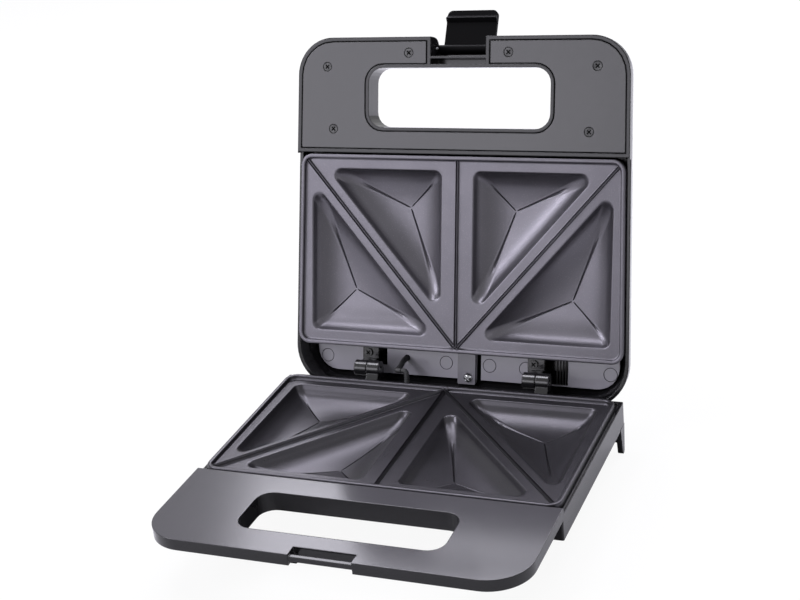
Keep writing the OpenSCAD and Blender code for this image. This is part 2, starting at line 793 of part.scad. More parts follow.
// The shell's hollows are cut first, then its inner walls are added inside its outer form.
module lid_shell() color("#29282d") {
    difference() {
        union() {
            difference() {
                union() {
                    lid_handle_body(0);
                    dome(0);
                }
                lid_handle_body(skin);
                dome(skin);
            }
            intersection() {
                union() {
                    lid_handle_body(0);
                    dome(0);
                }
                union() {
                    slab(slot_outline(tube_t), rim_z, rim_z + lid_handle_t);
                    block(-notch_half - skin, notch_half + skin, front + 0.1, slot_y0,
                        rim_z, rim_z + lid_handle_t);
                    block(-body_w, body_w, handle_back - skin, handle_back, rim_z, rim_z + lid_handle_t);
                    for (p = handle_screw_places) post(p, boss_r, rim_z + cover_t, rim_z + lid_handle_t - 1);
                    for (p = concat(frame_screw_places, lid_hinge_places, [strap_place]))
                        post(p, boss_r, panel_z + frame_t, rim_z + dome_h);
                }
            }
        }
        block(-body_w, body_w, handle_back, lid_back + over, rim_z - 2 * over, rim_z + rim_drop);
        slab(slot_outline(0), rim_z - over, rim_z + lid_handle_t + over);
        block(-notch_half, notch_half, front - over, notch_back, rim_z - over, rim_z + lid_handle_t + over);
        block(-notch_half, notch_half, notch_back + 1.5, slot_y0 - tube_t, rim_z - over,
            rim_z + lid_handle_t - skin);
        for (p = handle_screw_places) post(p, shank_r + 0.02, rim_z, rim_z + 10);
        for (p = concat(frame_screw_places, lid_hinge_places, [strap_place]))
            post(p, shank_r + 0.02, panel_z, panel_z + 9);
        rod_x(pivot_y, pivot_z, latch_pin_r + 0.02, -notch_half - skin - over, notch_half + skin + over);
        for (p = lamp_places) post(p, lens_r + 0.1, rim_z, rim_z + dome_h + over);
    }
}

module lid_handle_cover() color("#4a494e") {
    inset = skin + cover_gap;
    half = notch_half + skin + 0.8;
    difference() {
        slab(outline(front, handle_back, corner_r, 1.5, inset, 0), rim_z, rim_z + cover_t);
        slab(slot_outline(tube_t + cover_gap), rim_z - over, rim_z + cover_t + over);
        block(-half, half, front, front + 17.5, rim_z - over, rim_z + cover_t + over);
        for (p = handle_screw_places) {
            post(p, shank_r + screw_fit, rim_z - over, rim_z + cover_t + over);
            post(p, head_r + 0.35, rim_z - over, rim_z + 1);
        }
    }
}

module lid_handle_screws() color("#3c3b40") {
    for (p = handle_screw_places) screw(p, rim_z + 1, lid_screw_l, head_r, 0.9);
}

// The inner frame: a ring wall behind the plate, the hinge panel and the screw bosses
panel_marks = [[-100.5, 6], [-12.3, 5.3], [18.6, 5.2], [44, 5.5], [101.5, 5.2]];

module lid_frame() color("#55545a") {
    panel_half = half_w(0) - panel_side;
    top = panel_z + frame_t;
    under = 2 * hinge_z - deck_z;
    boss_top = 2 * hinge_z - shield_z;
    ring = 8.2;
    y0 = plate_y0 + 4.4;
    difference() {
        union() {
            difference() {
                slab(outline(y0 - ring, 1.2, 20, 14, ring), under, top);
                slab(outline(y0 - ring, 1.2, 20, 14, ring + 1.4), under - over, top + over);
            }
            slab(rounded(
                [[-panel_half, plate_y1 - 2], [panel_half, plate_y1 - 2], [panel_half, panel_reach],
                    [-panel_half, panel_reach]], [1, 1, 15, 15]), panel_z, top);
            block(strap_x - 6.5, strap_x + 6.5, 0, panel_reach + 1.6, panel_z, top);
            block(-70, 70, y0, y0 + 14, panel_z, top);
            for (p = posts) {
                edge = half_w(p.y) - ring - 0.4;
                post(p, post_r + 1, panel_z, boss_top);
                if (p.y < -60)
                    block(min(p.x, sign(p.x) * edge), max(p.x, sign(p.x) * edge), p.y - 4, p.y + 4,
                        panel_z, top);
                else
                    block(p.x - 4, p.x + 4, p.y, plate_y1, panel_z, top);
            }
        }
        for (p = panel_marks) difference() {
            post(p, 4.7, panel_z - over, panel_z + 0.3);
            post(p, 4.3, panel_z - 2 * over, panel_z + 1);
        }
        block(-66, -55.6, plate_y1 + 3, 9.8, panel_z - over, top + over);
        difference() {
            block(54, 73, plate_y1 + 3, panel_reach - 1, panel_z - over, top + over);
            for (x = [65:2:71]) block(x, x + 0.8, plate_y1, panel_reach, panel_z + 0.4, top);
        }
        block(strap_x + 6.8, strap_x + 9.6, plate_y1 + 3, panel_reach + 4, panel_z - over, top + over);
        post([sleeve_x, 4], sleeve_r + 0.4, panel_z - over, top + over);
        for (p = concat(frame_screw_places, lid_hinge_places, [strap_place]))
            post(p, shank_r + screw_fit, panel_z - over, top + over);
        for (p = posts) post(p, shank_r + screw_fit, panel_z - over, boss_top + over);
    }
}

module lid_frame_screws() color("#9a9ba0") {
    for (p = frame_screw_places) screw(p, panel_z, frame_t + boss_screw_l);
}

module lid_plate() color("#3b3a40") flip() cooking_plate(2 * hinge_z - panel_z);

module lid_heater() color("#8d8a86") flip() {
    heater_tube(heater_r);
    heater_pins();
}

module lid_heater_beads() color("#e9e5da") flip() heater_beads();

module lid_heat_shield() color("#b9bbbe") flip() {
    difference() {
        slab(shield_outline(), shield_z - shield_t, shield_z);
        for (p = posts) post(p, shank_r + screw_fit, 0, base_h);
        for (p = frame_screw_places) post(p, boss_r + 0.6, 0, base_h);
    }
}

module lid_plate_screws() color("#9a9ba0") flip() {
    head_z = shield_z - shield_t;
    for (p = posts) screw(p, head_z, 2 * hinge_z - panel_z + 7 - head_z);
}

// A lid hinge arm: a pad screwed to the panel and a neck down to the barrel
module lid_hinge(x) {
    b = lid_barrel(x);
    place = [b[0] + 1.3, 1.5];
    pad_z = panel_z - hinge_pad;
    difference() {
        union() {
            block(b[0] - 3, b[1], -3.6, 7, pad_z, panel_z);
            block(b[0], b[1], 5.4, 13, hinge_z + 2, panel_z);
            rod_x(hinge_y, hinge_z, barrel_r, b[0], b[1]);
        }
        rod_x(hinge_y, hinge_z, pin_r + pin_fit, b[0] - over, b[1] + over);
        post(place, shank_r + screw_fit, pad_z - over, panel_z + over);
    }
}

module lid_hinge_left() color("#2c2b30") lid_hinge(hinge_left);
module lid_hinge_right() color("#2c2b30") lid_hinge(hinge_right);

module lid_hinge_screws() color("#6e6e73") {
    for (p = lid_hinge_places) screw(p, panel_z - hinge_pad, hinge_pad + frame_t + boss_screw_l);
}

module rear_strap() color("#3a393e") {
    difference() {
        slab(box_outline(strap_x - 6.3, strap_x + 6.3, -3, panel_reach + 3.2, 1), panel_z - 2.2, panel_z);
        post(strap_place, shank_r + screw_fit, 0, panel_z + over);
    }
}

module rear_strap_screw() color("#c9cbce") {
    difference() {
        union() {
            intersection() {
                translate([strap_place.x, strap_place.y, panel_z - 2.2 + 1.6]) sphere(r = 3.7);
                post(strap_place, 3.3, panel_z - 6, panel_z - 2.2);
            }
            post(strap_place, shank_r, panel_z - 2.4, panel_z + frame_t + boss_screw_l);
        }
        for (a = [45, 135]) translate([strap_place.x, strap_place.y, panel_z - 5]) rotate(a)
            translate([-2, -0.45, 0]) cube([4, 0.9, 1.6]);
    }
}

// Controls in the lid
fuse_r = 2.2;
fuse_l = 16;
fuse_y = heater_y0 + 12.2;
thermostat_y = fuse_y + 30;

module thermostat() color("#d8d2c2") flip() {
    y = thermostat_y;
    post([0, y], thermostat_r, deck_z - thermostat_h, deck_z);
    blade_z = deck_z - thermostat_h;
    for (s = [-1, 1]) block(s * 4 - 1.5, s * 4 + 1.5, y - 0.4, y + 0.4, blade_z - 5, blade_z + 1);
}

module thermal_fuse() color("#e6e2d6") flip() {
    translate([0, fuse_y, deck_z - fuse_r]) rotate([-90, 0, 0]) cylinder(r = fuse_r, h = fuse_l);
}

module lamp(p) {
    top = rim_z + dome_h;
    post(p, lens_r, top - 6, top + 0.4);
    post(p, lens_r + 1.4, top - 6, top - skin - 0.05);
}

module power_lamp() color("#c8402c") lamp(lamp_places[0]);
module ready_lamp() color("#4f9a52") lamp(lamp_places[1]);

// Wires run at these depths under the plate's deck: to the heater and back to the sleeve at the hinge.
module lid_wires() color("#a33a2c") flip() {
    low = deck_z - thermostat_h - 3;
    fuse_z = deck_z - fuse_r;
    y0 = fuse_y - 0.1;
    y1 = fuse_y + fuse_l + 0.1;
    pipe([
        [4, thermostat_y + 1.3, low], [8, (thermostat_y + heater_y1) / 2, low - 1],
        [6, heater_y1 - 1.4, heater_z]
    ], 0.9);
    pipe([
        [-4, thermostat_y + 1.3, low], [0, thermostat_y + 12, low], [0, plate_y1 - 23, low - 1],
        [-2, plate_y1 - 11.5, deck_z - 18.3], [-30, plate_y1 - 5.5, deck_z - 21.1], [-39, 1.6, deck_z - 22.1]
    ], 0.9);
    pipe([
        [0, y1, fuse_z], [0, y1 + 1.3, fuse_z], [-1.5, y1 + 3.1, fuse_z - 0.5], [-5, y1 + 4.4, fuse_z - 1.9],
        [-9, y1 + 6.9, fuse_z - 3.9], [-9, heater_y1 - 8, heater_z + 1.7], [-6, heater_y1 - 1.4, heater_z]
    ], 0.9);
    pipe([
        [0, y0, fuse_z], [0, y0 - 1.3, fuse_z], [1.5, y0 - 3.1, fuse_z - 0.5], [5, y0 - 4.3, fuse_z - 1.9],
        [9, y0, fuse_z - 3.9], [9, thermostat_y + 8, deck_z - 8.6], [3, thermostat_y + 20, deck_z - 8.6],
        [3, plate_y1 - 9.5, deck_z - 16.1], [-4, plate_y1 - 6.5, deck_z - 18.5],
        [-30, plate_y1 - 2.2, deck_z - 21.6], [-42.4, 1.8, deck_z - 23.1]
    ], 0.9);
}

module lid_wire_sleeve() color("#17171a") {
    pipe([
        [sleeve_x, 4, panel_z + 7], [sleeve_x, 4, panel_z - 5], [sleeve_x, hinge_y, hinge_z + 6],
        [sleeve_x, hinge_y, hinge_z], [sleeve_x + 3.8, hinge_y, hinge_z]
    ], sleeve_r);
}

// Latch
module latch_pin() color("#c9cbce") {
    rod_x(pivot_y, pivot_z, latch_pin_r, -notch_half - skin + 0.4, notch_half + skin - 0.4);
}

module latch_clip() color("#1d1c20") {
    half = latch_w / 2;
    y0 = pivot_y - clip_face - clip_t;
    y1 = pivot_y - clip_face;
    top = pivot_z + 2.6;
    tip = pivot_z - clip_drop;
    roof_t = 3;
    difference() {
        intersection() {
            union() {
                translate([-half, 0, 0]) rotate([90, 0, 90]) linear_extrude(latch_w) polygon(concat(
                    [[pivot_y, top], [y0 + 2.4, top], [y0 + 0.7, top - 0.7], [y0, top - 2.4]],
                    [[y0, tip], [y1, tip]],
                    [[y1, barb_mid - barb_h * 0.83], [y1 + barb_h, barb_mid], [y1, barb_mid + barb_h * 0.83]],
                    [[y1, top - roof_t], [pivot_y, top - roof_t]]
                ));
                rod_x(pivot_y, pivot_z, 2.6, -half, half);
            }
            translate([0, y0 - over, 0]) rotate([-90, 0, 0]) linear_extrude(30)
                polygon(rounded([[-half, -top - over], [half, -top - over], [half, -tip], [-half, -tip]],
                    [0.5, 0.5, 3.6, 3.6]));
        }
        rod_x(pivot_y, pivot_z, latch_pin_r + pin_fit, -half - over, half + over);
    }
}

base_place() base_housing();
base_place() base_handle_cover();
base_place() base_handle_screws();
base_place() base_bottom_cover();
base_place() base_plate();
base_place() base_heater();
base_place() base_heater_beads();
base_place() base_heat_shield();
base_place() base_plate_screws();
base_place() front_feet();
base_place() terminal_block();
base_place() base_wires();
base_place() cord_gland();
base_place() base_hinge_left();
base_place() base_hinge_right();
base_place() hinge_pin_left();
base_place() hinge_pin_right();
base_place() base_wire_sleeve();
lid_place() lid_shell();
lid_place() lid_handle_cover();
lid_place() lid_handle_screws();
lid_place() lid_frame();
lid_place() lid_frame_screws();
lid_place() lid_plate();
lid_place() lid_heater();
lid_place() lid_heater_beads();
lid_place() lid_heat_shield();
lid_place() lid_plate_screws();
lid_place() lid_hinge_left();
lid_place() lid_hinge_right();
lid_place() lid_hinge_screws();
lid_place() rear_strap();
lid_place() rear_strap_screw();
lid_place() thermostat();
lid_place() thermal_fuse();
lid_place() power_lamp();
lid_place() ready_lamp();
lid_place() lid_wires();
lid_place() lid_wire_sleeve();
lid_place() latch_pin();
latch_place() latch_clip();
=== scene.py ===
"""Dresses the two-slice sandwich toaster: cast plates, smooth mouldings, finishes, studio and camera.

Sizes are in millimetres and shapes are worked out with the toaster shut, as in the model's source:
x across, y from the handles to the hinge, z up. The lid's pieces are then swung open about the hinge.
"""

import json
import math

import bpy
import numpy as np
from mathutils import Matrix, Vector
from mathutils.geometry import tessellate_polygon


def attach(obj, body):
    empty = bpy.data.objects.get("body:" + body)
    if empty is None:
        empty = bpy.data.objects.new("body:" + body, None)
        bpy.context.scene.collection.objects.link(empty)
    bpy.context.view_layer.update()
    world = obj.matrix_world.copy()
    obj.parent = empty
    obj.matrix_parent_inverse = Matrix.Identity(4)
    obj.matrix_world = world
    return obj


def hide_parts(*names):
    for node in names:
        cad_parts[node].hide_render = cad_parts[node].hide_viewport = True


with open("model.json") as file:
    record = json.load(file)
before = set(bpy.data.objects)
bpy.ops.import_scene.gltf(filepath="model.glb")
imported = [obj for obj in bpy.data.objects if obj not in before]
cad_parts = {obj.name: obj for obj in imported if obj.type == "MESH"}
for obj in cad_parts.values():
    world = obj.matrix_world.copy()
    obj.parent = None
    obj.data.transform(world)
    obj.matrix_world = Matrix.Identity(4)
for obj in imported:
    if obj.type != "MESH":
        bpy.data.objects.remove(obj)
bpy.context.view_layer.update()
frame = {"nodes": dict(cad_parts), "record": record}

# Overall sizes
BODY_W = 230
SIDE_FLARE = 3.6
BASE_LEN = 212.5
FRONT = -BASE_LEN
HANDLE_BACK = FRONT + 76
BASE_H = 38
RIM_Z = BASE_H + 2.5
PANEL_Z = RIM_Z + 19.5
HINGE_SCREW_Z = PANEL_Z - 3.9
HINGE_Y = 9.25
HINGE_Z = BASE_H + 1.25
OPEN_ANGLE = math.radians(106.5)
ORIGIN_Y = -51.6461
LID_BACK = 25.5
CORNER_R = 25
REAR_R = 29
DOME_R = 12
HANDLE_EDGE = 7
HANDLE_T = 12
LID_HANDLE_T = 17
SLOT = (62.5, FRONT + 20, FRONT + 59, 10)
NOTCH_HALF = 18.9
PROUD = 0.04

# Cooking plates
PLATE_INSET = 2.8
PLATE_Y0 = HANDLE_BACK + 1.3
PLATE_Y1 = -5
PLATE_R = 8
LAND_Z = BASE_H + 0.3 - 2.7
DECK_Z = LAND_Z - 2.5
LIP_H = 2.7
LIP_W = 2.6
LAND_EDGE = 7.2
LAND_CENTRE = 11.3
LAND_DIAG = 7
POCKET_DEPTH = 12
POCKET_WALL = 1.9
POCKET_R = 5
MARK_X = 1.5
RIDGE_W = 3.0
RIDGE_H = 1.8
CORNER_STEPS = 14
FLAT_LEAST = 1e-6


# Outlines

def half_width(y):
    """Half the housing's width at y: it widens evenly from front to rear."""
    return BODY_W / 2 + SIDE_FLARE * (y / BASE_LEN + 0.5)


def rounded(corners, radii, steps=CORNER_STEPS):
    """A closed counter-clockwise loop of points, each corner replaced by an arc tangent to its sides."""
    p = np.asarray(corners, float)
    r = np.asarray(radii, float)[:, None]
    u = np.roll(p, 1, 0) - p
    v = np.roll(p, -1, 0) - p
    u /= np.linalg.norm(u, axis=1)[:, None]
    v /= np.linalg.norm(v, axis=1)[:, None]
    half = np.arccos(np.clip((u * v).sum(1), -1, 1))[:, None] / 2
    middle = u + v
    middle /= np.linalg.norm(middle, axis=1)[:, None]
    centre = p + middle * r / np.sin(half)
    first = p + u * r / np.tan(half) - centre
    start = np.arctan2(first[:, 1], first[:, 0])[:, None]
    turn = start + (math.pi - 2 * half) * np.linspace(0, 1, steps + 1)[None, :]
    arcs = centre[:, None, :] + r[:, :, None] * np.stack([np.cos(turn), np.sin(turn)], -1)
    return arcs.reshape(-1, 2)


def outline(y0, y1, r0, r1, inset):
    """The housing's outline between y0 and y1, drawn in by inset, as the source draws it."""
    a = y0 + inset
    b = y1 - inset
    wa = half_width(y0) - inset
    wb = half_width(y1) - inset
    ra = max(r0 - inset, 1)
    rb = max(r1 - inset, 1)
    return rounded([(-wa, a), (wa, a), (wb, b), (-wb, b)], [ra, ra, rb, rb])


def slot_loop(grow):
    """The hand slot's rounded rectangle, grown by grow on every side."""
    w, y0, y1, r = SLOT
    box = [(-w - grow, y0 - grow), (w + grow, y0 - grow), (w + grow, y1 + grow), (-w - grow, y1 + grow)]
    return rounded(box, [r + grow] * 4)


def smooth_profile(points, steps):
    """A curve through points: each stretch is a cubic whose end slopes are the chords of its neighbours."""
    p = np.asarray(points, float)
    before = np.vstack([2 * p[0] - p[1], p[:-1]])
    after = np.vstack([p[1:], 2 * p[-1] - p[-2]])
    slope = (after - before) / 2
    t = np.linspace(0, 1, steps, endpoint=False)[None, :, None]
    a = p[:-1, None]
    b = p[1:, None]
    ma = slope[:-1, None]
    mb = slope[1:, None]
    rows = (2 * t**3 - 3 * t**2 + 1) * a + (t**3 - 2 * t**2 + t) * ma
    rows = rows + (3 * t**2 - 2 * t**3) * b + (t**3 - t**2) * mb
    return np.vstack([rows.reshape(-1, 2), p[-1:]])


# Surfaces

class Sheets:
    """Collects grids and flat faces, in millimetres, that make one piece."""

    def __init__(self):
        self.points = []
        self.faces = []
        self.count = 0

    def add(self, points, faces):
        self.faces.extend((np.asarray(f) + self.count).tolist() for f in faces)
        self.points.append(np.asarray(points, float))
        self.count += len(points)

    def grid(self, rows, closed, flip=False):
        """A sheet over rows x columns of points; closed joins each row's ends."""
        k, n = rows.shape[:2]
        i, j = np.meshgrid(np.arange(k - 1), np.arange(n if closed else n - 1), indexing="ij")
        a = i * n + j
        b = i * n + (j + 1) % n
        quads = np.stack([a, b, b + n, a + n], -1).reshape(-1, 4)
        self.add(rows.reshape(-1, 3), quads[:, ::-1] if flip else quads)

    def flat(self, loops, z, up=True):
        """A level face at height z inside the first loop and outside the others."""
        loops3 = [[Vector((x, y, z)) for x, y in loop] for loop in loops]
        points = np.array([p for loop in loops3 for p in loop])
        tris = np.array(tessellate_polygon(loops3))
        a, b, c = points[tris[:, 0]], points[tris[:, 1]], points[tris[:, 2]]
        rise = np.cross(b - a, c - a)[:, 2]
        turned = (rise > 0) != up
        tris[turned] = tris[turned][:, ::-1]
        self.add(points, tris[abs(rise) > FLAT_LEAST])

    def mirror_z(self):
        """Mirrors the sheets about the plane through the hinge pins and turns them to face outwards."""
        self.points = [p * (1, 1, -1) + (0, 0, 2 * HINGE_Z) for p in self.points]
        self.faces = [f[::-1] for f in self.faces]


def rings(loop_at, profile):
    """Rows of points: for each (inset, height) of the profile, the loop at that inset set at that height."""
    return np.stack([np.column_stack([loop_at(s), np.full(len(loop_at(s)), z)]) for s, z in profile])


def swung_open(p):
    """Turns points about the hinge pins from the shut lid to the open one."""
    d = p - (0, HINGE_Y, HINGE_Z)
    c, s = math.cos(OPEN_ANGLE), math.sin(OPEN_ANGLE)
    y = HINGE_Y + d[:, 1] * c + d[:, 2] * s
    z = HINGE_Z + d[:, 2] * c - d[:, 1] * s
    return np.column_stack([p[:, 0], y, z])


def make_piece(name, sheets, body, material, nodes=(), sharp=35):
    """Makes the mesh in metres in the row's frame, smooth except at edges sharper than sharp degrees."""
    points = np.vstack(sheets.points)
    if body == "lid":
        points = swung_open(points)
    points = (points - (0, ORIGIN_Y, 0)) / 1000
    mesh = bpy.data.meshes.new(name)
    mesh.from_pydata(points.tolist(), [], sheets.faces)
    mesh.validate()
    mesh.polygons.foreach_set("use_smooth", np.ones(len(mesh.polygons), bool))
    mesh.set_sharp_from_angle(angle=math.radians(sharp))
    piece = bpy.data.objects.new(name, mesh)
    bpy.context.scene.collection.objects.link(piece)
    mesh.materials.append(material)
    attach(piece, body)
    if nodes:
        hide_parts(*nodes)
    return piece


# Shader expressions

class Value:
    """Wraps a socket, so that an expression on values adds its Math nodes."""

    def __init__(self, finish, socket):
        self.finish = finish
        self.socket = socket

    def math(self, operation, first, second):
        return self.finish.node("ShaderNodeMath", {"operation": operation}, {0: first, 1: second})

    def __add__(self, other):
        return self.math("ADD", self, other)

    def __radd__(self, other):
        return self.math("ADD", other, self)

    def __sub__(self, other):
        return self.math("SUBTRACT", self, other)

    def __rsub__(self, other):
        return self.math("SUBTRACT", other, self)

    def __mul__(self, other):
        return self.math("MULTIPLY", self, other)

    def __rmul__(self, other):
        return self.math("MULTIPLY", other, self)


class Finish:
    """One material: a shader and the nodes that vary it over the surface."""

    def __init__(self, name, **constant):
        self.material = bpy.data.materials.new(name)
        self.material.use_nodes = True
        self.tree = self.material.node_tree
        self.shader = self.tree.nodes["Principled BSDF"]
        for socket, value in constant.items():
            self.shader.inputs[socket.replace("_", " ")].default_value = value
        self.place = self.node("ShaderNodeTexCoord", {}, {}, "Object")

    def node(self, kind, settings, inputs, output=0):
        made = self.tree.nodes.new(kind)
        for key, value in settings.items():
            if key == "stops":
                self.set_stops(made.color_ramp, value)
            else:
                setattr(made, key, value)
        for key, value in inputs.items():
            self.put(made.inputs[key], value)
        return Value(self, made.outputs[output])

    def set_stops(self, ramp, stops):
        while len(ramp.elements) < len(stops):
            ramp.elements.new(1)
        for element, (place, colour) in zip(ramp.elements, stops):
            element.position = place
            element.color = colour if isinstance(colour, tuple) else (colour, colour, colour, 1)

    def put(self, socket, value):
        if isinstance(value, Value):
            self.tree.links.new(value.socket, socket)
        else:
            socket.default_value = value

    def set(self, **varying):
        for socket, value in varying.items():
            self.put(self.shader.inputs[socket.replace("_", " ")], value)

    def noise(self, scale, detail=3, rough=0.5):
        """Soft noise about 0.5 on the object's own place; scale is in cells per metre."""
        settings = {"noise_dimensions": "3D"}
        inputs = {"Vector": self.place, "Scale": scale, "Detail": detail, "Roughness": rough}
        return self.node("ShaderNodeTexNoise", settings, inputs, "Fac")

    def specks(self, scale, low, high):
        """Small round specks: 1 where the distance to the nearest random point is under low, 0 past high."""
        cells = self.node("ShaderNodeTexVoronoi", {}, {"Vector": self.place, "Scale": scale}, "Distance")
        return self.node("ShaderNodeMapRange", {}, {0: cells, 1: low, 2: high, 3: 1.0, 4: 0.0})

    def ramp(self, value, stops):
        return self.node("ShaderNodeValToRGB", {"stops": stops}, {"Fac": value}, "Color")

    def mix(self, share, first, second):
        settings = {"data_type": "RGBA"}
        made = self.node("ShaderNodeMix", settings, {"Factor": share}, "Result")
        node = made.socket.node
        sockets = [s for s in node.inputs if s.type == "RGBA"]
        self.put(sockets[0], first)
        self.put(sockets[1], second)
        return Value(self, [s for s in node.outputs if s.type == "RGBA"][0])

    def behind(self, face):
        """0 on the lid's faces at the height face, with the lid shut, and 1 a little way into the lid: the
        mask for the painted shade in holes, gaps and screw recesses.

        The height with the lid shut is the place along the lid's own upright: the swing is undone.
        """
        c, s = math.cos(OPEN_ANGLE), math.sin(OPEN_ANGLE)
        way = {0: self.place, 1: (0, 1000 * s, 1000 * c)}
        upright = self.node("ShaderNodeVectorMath", {"operation": "DOT_PRODUCT"}, way, "Value")
        height = upright + (HINGE_Z * (1 - c) + (ORIGIN_Y - HINGE_Y) * s)
        return self.node("ShaderNodeMapRange", {}, {0: height, 1: face + 0.1, 2: face + 0.3})

    def above(self, face):
        """0 below the height face in the base and 1 from there up: the mask for the painted light on a base
        piece's top.
        """
        way = {0: self.place, 1: (0, 0, 1000)}
        height = self.node("ShaderNodeVectorMath", {"operation": "DOT_PRODUCT"}, way, "Value")
        return self.node("ShaderNodeMapRange", {}, {0: height, 1: face - 0.1, 2: face})

    def relief(self, height, depth, edge=0.0):
        """Bump of the given depth in metres, on normals that are rounded over edge metres at corners."""
        inputs = {"Height": height, "Strength": 1.0, "Distance": depth}
        if edge:
            inputs["Normal"] = self.node("ShaderNodeBevel", {"samples": 6}, {"Radius": edge}, "Normal")
        self.set(Normal=self.node("ShaderNodeBump", {}, inputs, "Normal"))


def grey(level, tint=0.0):
    return (level, level * (1 - tint / 2), level * (1 + tint), 1)


def moulded(name, low, high, rough, edge, shine=0.5, face=None, satin_and_painted_light=None):
    """Moulded plastic: slight shade changes, rub marks in the gloss and a faint skin texture.

    With a face height, the walls of a lid piece's holes and gaps behind that face are painted black as
    painted shade, and made dull.
    With a satin_and_painted_light height, a base piece's top is painted paler from there up, as painted
    light from above, and made a little less glossy.
    """
    finish = Finish(name, Specular_IOR_Level=shine)
    cloud = finish.noise(9, 4)
    rub = finish.noise(160, 5, 0.65)
    colour = finish.ramp(cloud, [(0.3, grey(low, 0.06)), (0.75, grey(high, 0.06))])
    gloss = cloud * 0.08 + rub * 0.06 + (rough - 0.07)
    if face:
        # Painted shade: holes and gaps behind the face are painted black.
        recess_shade = finish.behind(face)
        colour = finish.mix(recess_shade, colour, (0.001, 0.001, 0.001, 1))
        gloss = gloss + recess_shade * 0.5
    if satin_and_painted_light:
        # Painted light: the top is painted paler, as if lit from above; it is also made a little rougher.
        top = finish.above(satin_and_painted_light)
        colour = finish.mix(top, colour, grey(0.045, 0.06))
        gloss = gloss + top * 0.02
    finish.set(Base_Color=colour, Roughness=gloss)
    finish.relief(finish.noise(900, 3), 0.00002, edge)
    return finish.material


def cast_coating(name, level, rough):
    """Non-stick coat on cast aluminium: a dark grey with fine pale flecks and a half-gloss sheen; level sets
    its grey, and the two plates' levels differ as painted light and shade.
    """
    finish = Finish(name, Metallic=0.82, Specular_IOR_Level=0.5)
    cloud = finish.noise(14, 4)
    base = finish.ramp(cloud, [(0.3, grey(level * 0.88, 0.08)), (0.75, grey(level * 1.12, 0.08))])
    pale = finish.specks(900, 0.1, 0.22) * 0.3
    flecked = finish.mix(pale, base, grey(level * 2.8, 0.08))
    finish.set(Base_Color=flecked)
    finish.set(Roughness=finish.noise(60, 4) * 0.1 + finish.noise(1200, 2) * 0.1 + (rough - 0.1))
    finish.relief(finish.noise(1400, 4, 0.7), 0.00005, 0.0003)
    return finish.material


def brushed(name, colour, rough, streak):
    """Metal with fine drawn streaks across and small stains."""
    finish = Finish(name, Metallic=1.0)
    stretched = finish.node("ShaderNodeMapping", {}, {"Vector": finish.place, "Scale": (streak, 1200, 1200)})
    lines = finish.node("ShaderNodeTexNoise", {}, {"Vector": stretched, "Scale": 1.0, "Detail": 3.0}, "Fac")
    stain = finish.noise(70, 4)
    dull = tuple(c * 0.6 for c in colour[:3]) + (1,)
    finish.set(Base_Color=finish.mix(stain * 0.6, colour, dull))
    finish.set(Roughness=lines * 0.2 + stain * 0.1 + (rough - 0.15))
    finish.relief(lines, 0.00002, 0.0002)
    return finish.material


def screw_head(name, face):
    """Blackened steel screw whose outer face is at the height face in the shut lid, with its recess painted
    black as painted shade.
    """
    finish = Finish(name, Metallic=1.0)
    worn = finish.ramp(finish.noise(500, 3), [(0.3, grey(0.025)), (0.7, grey(0.055))])
    # Painted shade: the recess behind the head's face is painted near-black.
    finish.set(Base_Color=finish.mix(finish.behind(face), worn, (0.002, 0.002, 0.002, 1)))
    finish.set(Roughness=finish.noise(300, 3) * 0.2 + 0.15)
    finish.relief(finish.noise(900, 3), 0.00001, 0.0002)
    return finish.material


def mottled(name, colour, rough, scale, depth, coat=0.0):
    """A plain solid colour with soft mottling and grain, for ceramic, rubber, wire and lens."""
    finish = Finish(name, Coat_Weight=coat)
    cloud = finish.noise(scale, 4)
    dark = tuple(c * 0.78 for c in colour[:3]) + (1,)
    finish.set(Base_Color=finish.mix(cloud, dark, colour))
    finish.set(Roughness=finish.noise(scale * 6, 3) * 0.2 + (rough - 0.1))
    finish.relief(finish.noise(scale * 12, 3), depth, 0.0002)
    return finish.material


shell_black = moulded("shell_black", 0.006, 0.01, 0.17, 0.0009, shine=0.34)
cover_black = moulded("cover_black", 0.014, 0.02, 0.22, 0.0006)
# The handle's top face carries painted light: it is painted paler than its sides.
handle_black = moulded("handle_black", 0.006, 0.01, 0.13, 0.0009, shine=0.3, satin_and_painted_light=BASE_H - 0.1)
panel_grey = moulded("panel_grey", 0.2, 0.26, 0.14, 0.0005)
hinge_black = moulded("hinge_black", 0.008, 0.012, 0.16, 0.0008)
inner_black = moulded("inner_black", 0.004, 0.007, 0.36, 0.0006, 0.25)
# The same coating on both plates: the base plate's copy is painted darker and the lid plate's lighter, as
# painted shade and painted light for how each is lit.
nonstick = cast_coating("nonstick_coat", 0.046, 0.31)
lid_nonstick = cast_coating("lid_nonstick_coat", 0.113, 0.37)

